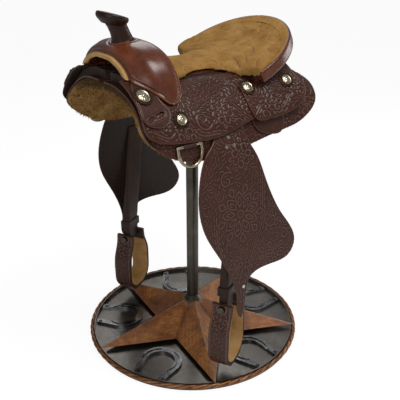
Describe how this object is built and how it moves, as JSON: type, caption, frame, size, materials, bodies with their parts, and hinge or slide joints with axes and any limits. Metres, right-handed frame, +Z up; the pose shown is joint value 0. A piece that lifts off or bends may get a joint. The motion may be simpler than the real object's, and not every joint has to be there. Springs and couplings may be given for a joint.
{
  "type": "saddle bar stool",
  "caption": "Swivel bar stool: a stock saddle with horn, quilted suede seat, fenders and stirrups on a pipe post over a round steel base with a star.",
  "frame": {"origin": "middle of the base underside, on the floor", "axes": "+Z up, horn towards -Y, the rider's left side towards +X"},
  "size_m": [0.6121, 0.612, 0.9356],
  "materials": {
    "base_steel": "hot-rolled, polished",
    "rope_steel": "twisted bar, rusted and waxed",
    "star_steel": "sheet steel, rust patina",
    "shoe_steel": "worn bright",
    "post_steel": "ground, lacquered",
    "bronze": "plain bearing bronze",
    "zinc": "zinc plated",
    "tree_wood": "bare",
    "dark_leather": "tooled, oiled",
    "brown_leather": "smooth, polished",
    "horn_leather": "smooth wrap",
    "suede": "roughout suede",
    "fleece": "sheared fleece",
    "concho_silver": "engraved, gilt rim",
    "ring_steel": "polished"
  },
  "bodies": {
    "stand": {"base_plate": "base_steel", "rim_band": "base_steel", "rope_ring": "rope_steel", "star": "star_steel", "horseshoes": "shoe_steel", "post_tube": "post_steel", "upper_bush": "bronze", "lower_bush": "bronze", "thrust_washer": "bronze"},
    "saddle": {"swivel_spindle": "zinc", "spindle_retainer": "zinc", "bracket_plate": "zinc", "bracket_bolts": "zinc", "tree_bars": "tree_wood", "ground_seat": "dark_leather", "tree_fork": "tree_wood", "fork_cover": "brown_leather", "gullet_welt": "suede", "horn_core": "tree_wood", "horn_wrap": "horn_leather", "horn_cap": "horn_leather", "seat": "suede", "tree_cantle": "tree_wood", "cantle_back": "brown_leather", "cantle_roll": "brown_leather", "rosettes": "dark_leather", "conchos": "concho_silver", "hanger_pins": "zinc", "ring_clips": "dark_leather", "fleece_left": "fleece", "fleece_right": "fleece", "skirt_left": "dark_leather", "skirt_right": "dark_leather", "seat_jockey_left": "dark_leather", "seat_jockey_right": "dark_leather", "rear_jockey_left": "dark_leather", "rear_jockey_right": "dark_leather", "rigging_plate_left": "dark_leather", "rigging_plate_right": "dark_leather", "rear_rigging_tab_left": "dark_leather", "rear_rigging_tab_right": "dark_leather"},
    "fender_left": {"fender_left": "dark_leather", "fender_rivets_left": "zinc", "stirrup_leather_left": "dark_leather", "keeper_left": "dark_leather"},
    "fender_right": {"fender_right": "dark_leather", "fender_rivets_right": "zinc", "stirrup_leather_right": "dark_leather", "keeper_right": "dark_leather"},
    "stirrup_left": {"stirrup_frame_left": "tree_wood", "stirrup_cover_left": "dark_leather", "stirrup_lining_left": "suede", "stirrup_bolt_set_left": "zinc"},
    "stirrup_right": {"stirrup_frame_right": "tree_wood", "stirrup_cover_right": "dark_leather", "stirrup_lining_right": "suede", "stirrup_bolt_set_right": "zinc"},
    "ring_left": {"rigging_ring_left": "ring_steel"},
    "ring_right": {"rigging_ring_right": "ring_steel"}
  },
  "joints": [
    {"name": "swivel", "type": "hinge", "parent": "stand", "child": "saddle", "pos_m": [0, 0, 0.7], "axis": [0, 0, 1], "continuous": true},
    {"name": "fender_swing_left", "type": "hinge", "parent": "saddle", "child": "fender_left", "pos_m": [0.18659, -0.035, 0.67366], "axis": [0.8746, 0, 0.4848], "range_deg": [0, 20]},
    {"name": "stirrup_swing_left", "type": "hinge", "parent": "fender_left", "child": "stirrup_left", "pos_m": [0.234, -0.064, 0.222], "axis": [0.4695, -0.8829, 0], "range_deg": [-35, 20]},
    {"name": "ring_lift_left", "type": "hinge", "parent": "saddle", "child": "ring_left", "pos_m": [0.20107, -0.156, 0.65779], "axis": [0, -1, 0], "range_deg": [0, 50]},
    {"name": "fender_swing_right", "type": "hinge", "parent": "saddle", "child": "fender_right", "pos_m": [-0.18659, -0.035, 0.67366], "axis": [0.8746, 0, -0.4848], "range_deg": [0, 20]},
    {"name": "stirrup_swing_right", "type": "hinge", "parent": "fender_right", "child": "stirrup_right", "pos_m": [-0.234, -0.064, 0.222], "axis": [-0.4695, 0.8829, 0], "range_deg": [-35, 20]},
    {"name": "ring_lift_right", "type": "hinge", "parent": "saddle", "child": "ring_right", "pos_m": [-0.20107, -0.156, 0.65779], "axis": [0, 1, 0], "range_deg": [0, 50]}
  ]
}
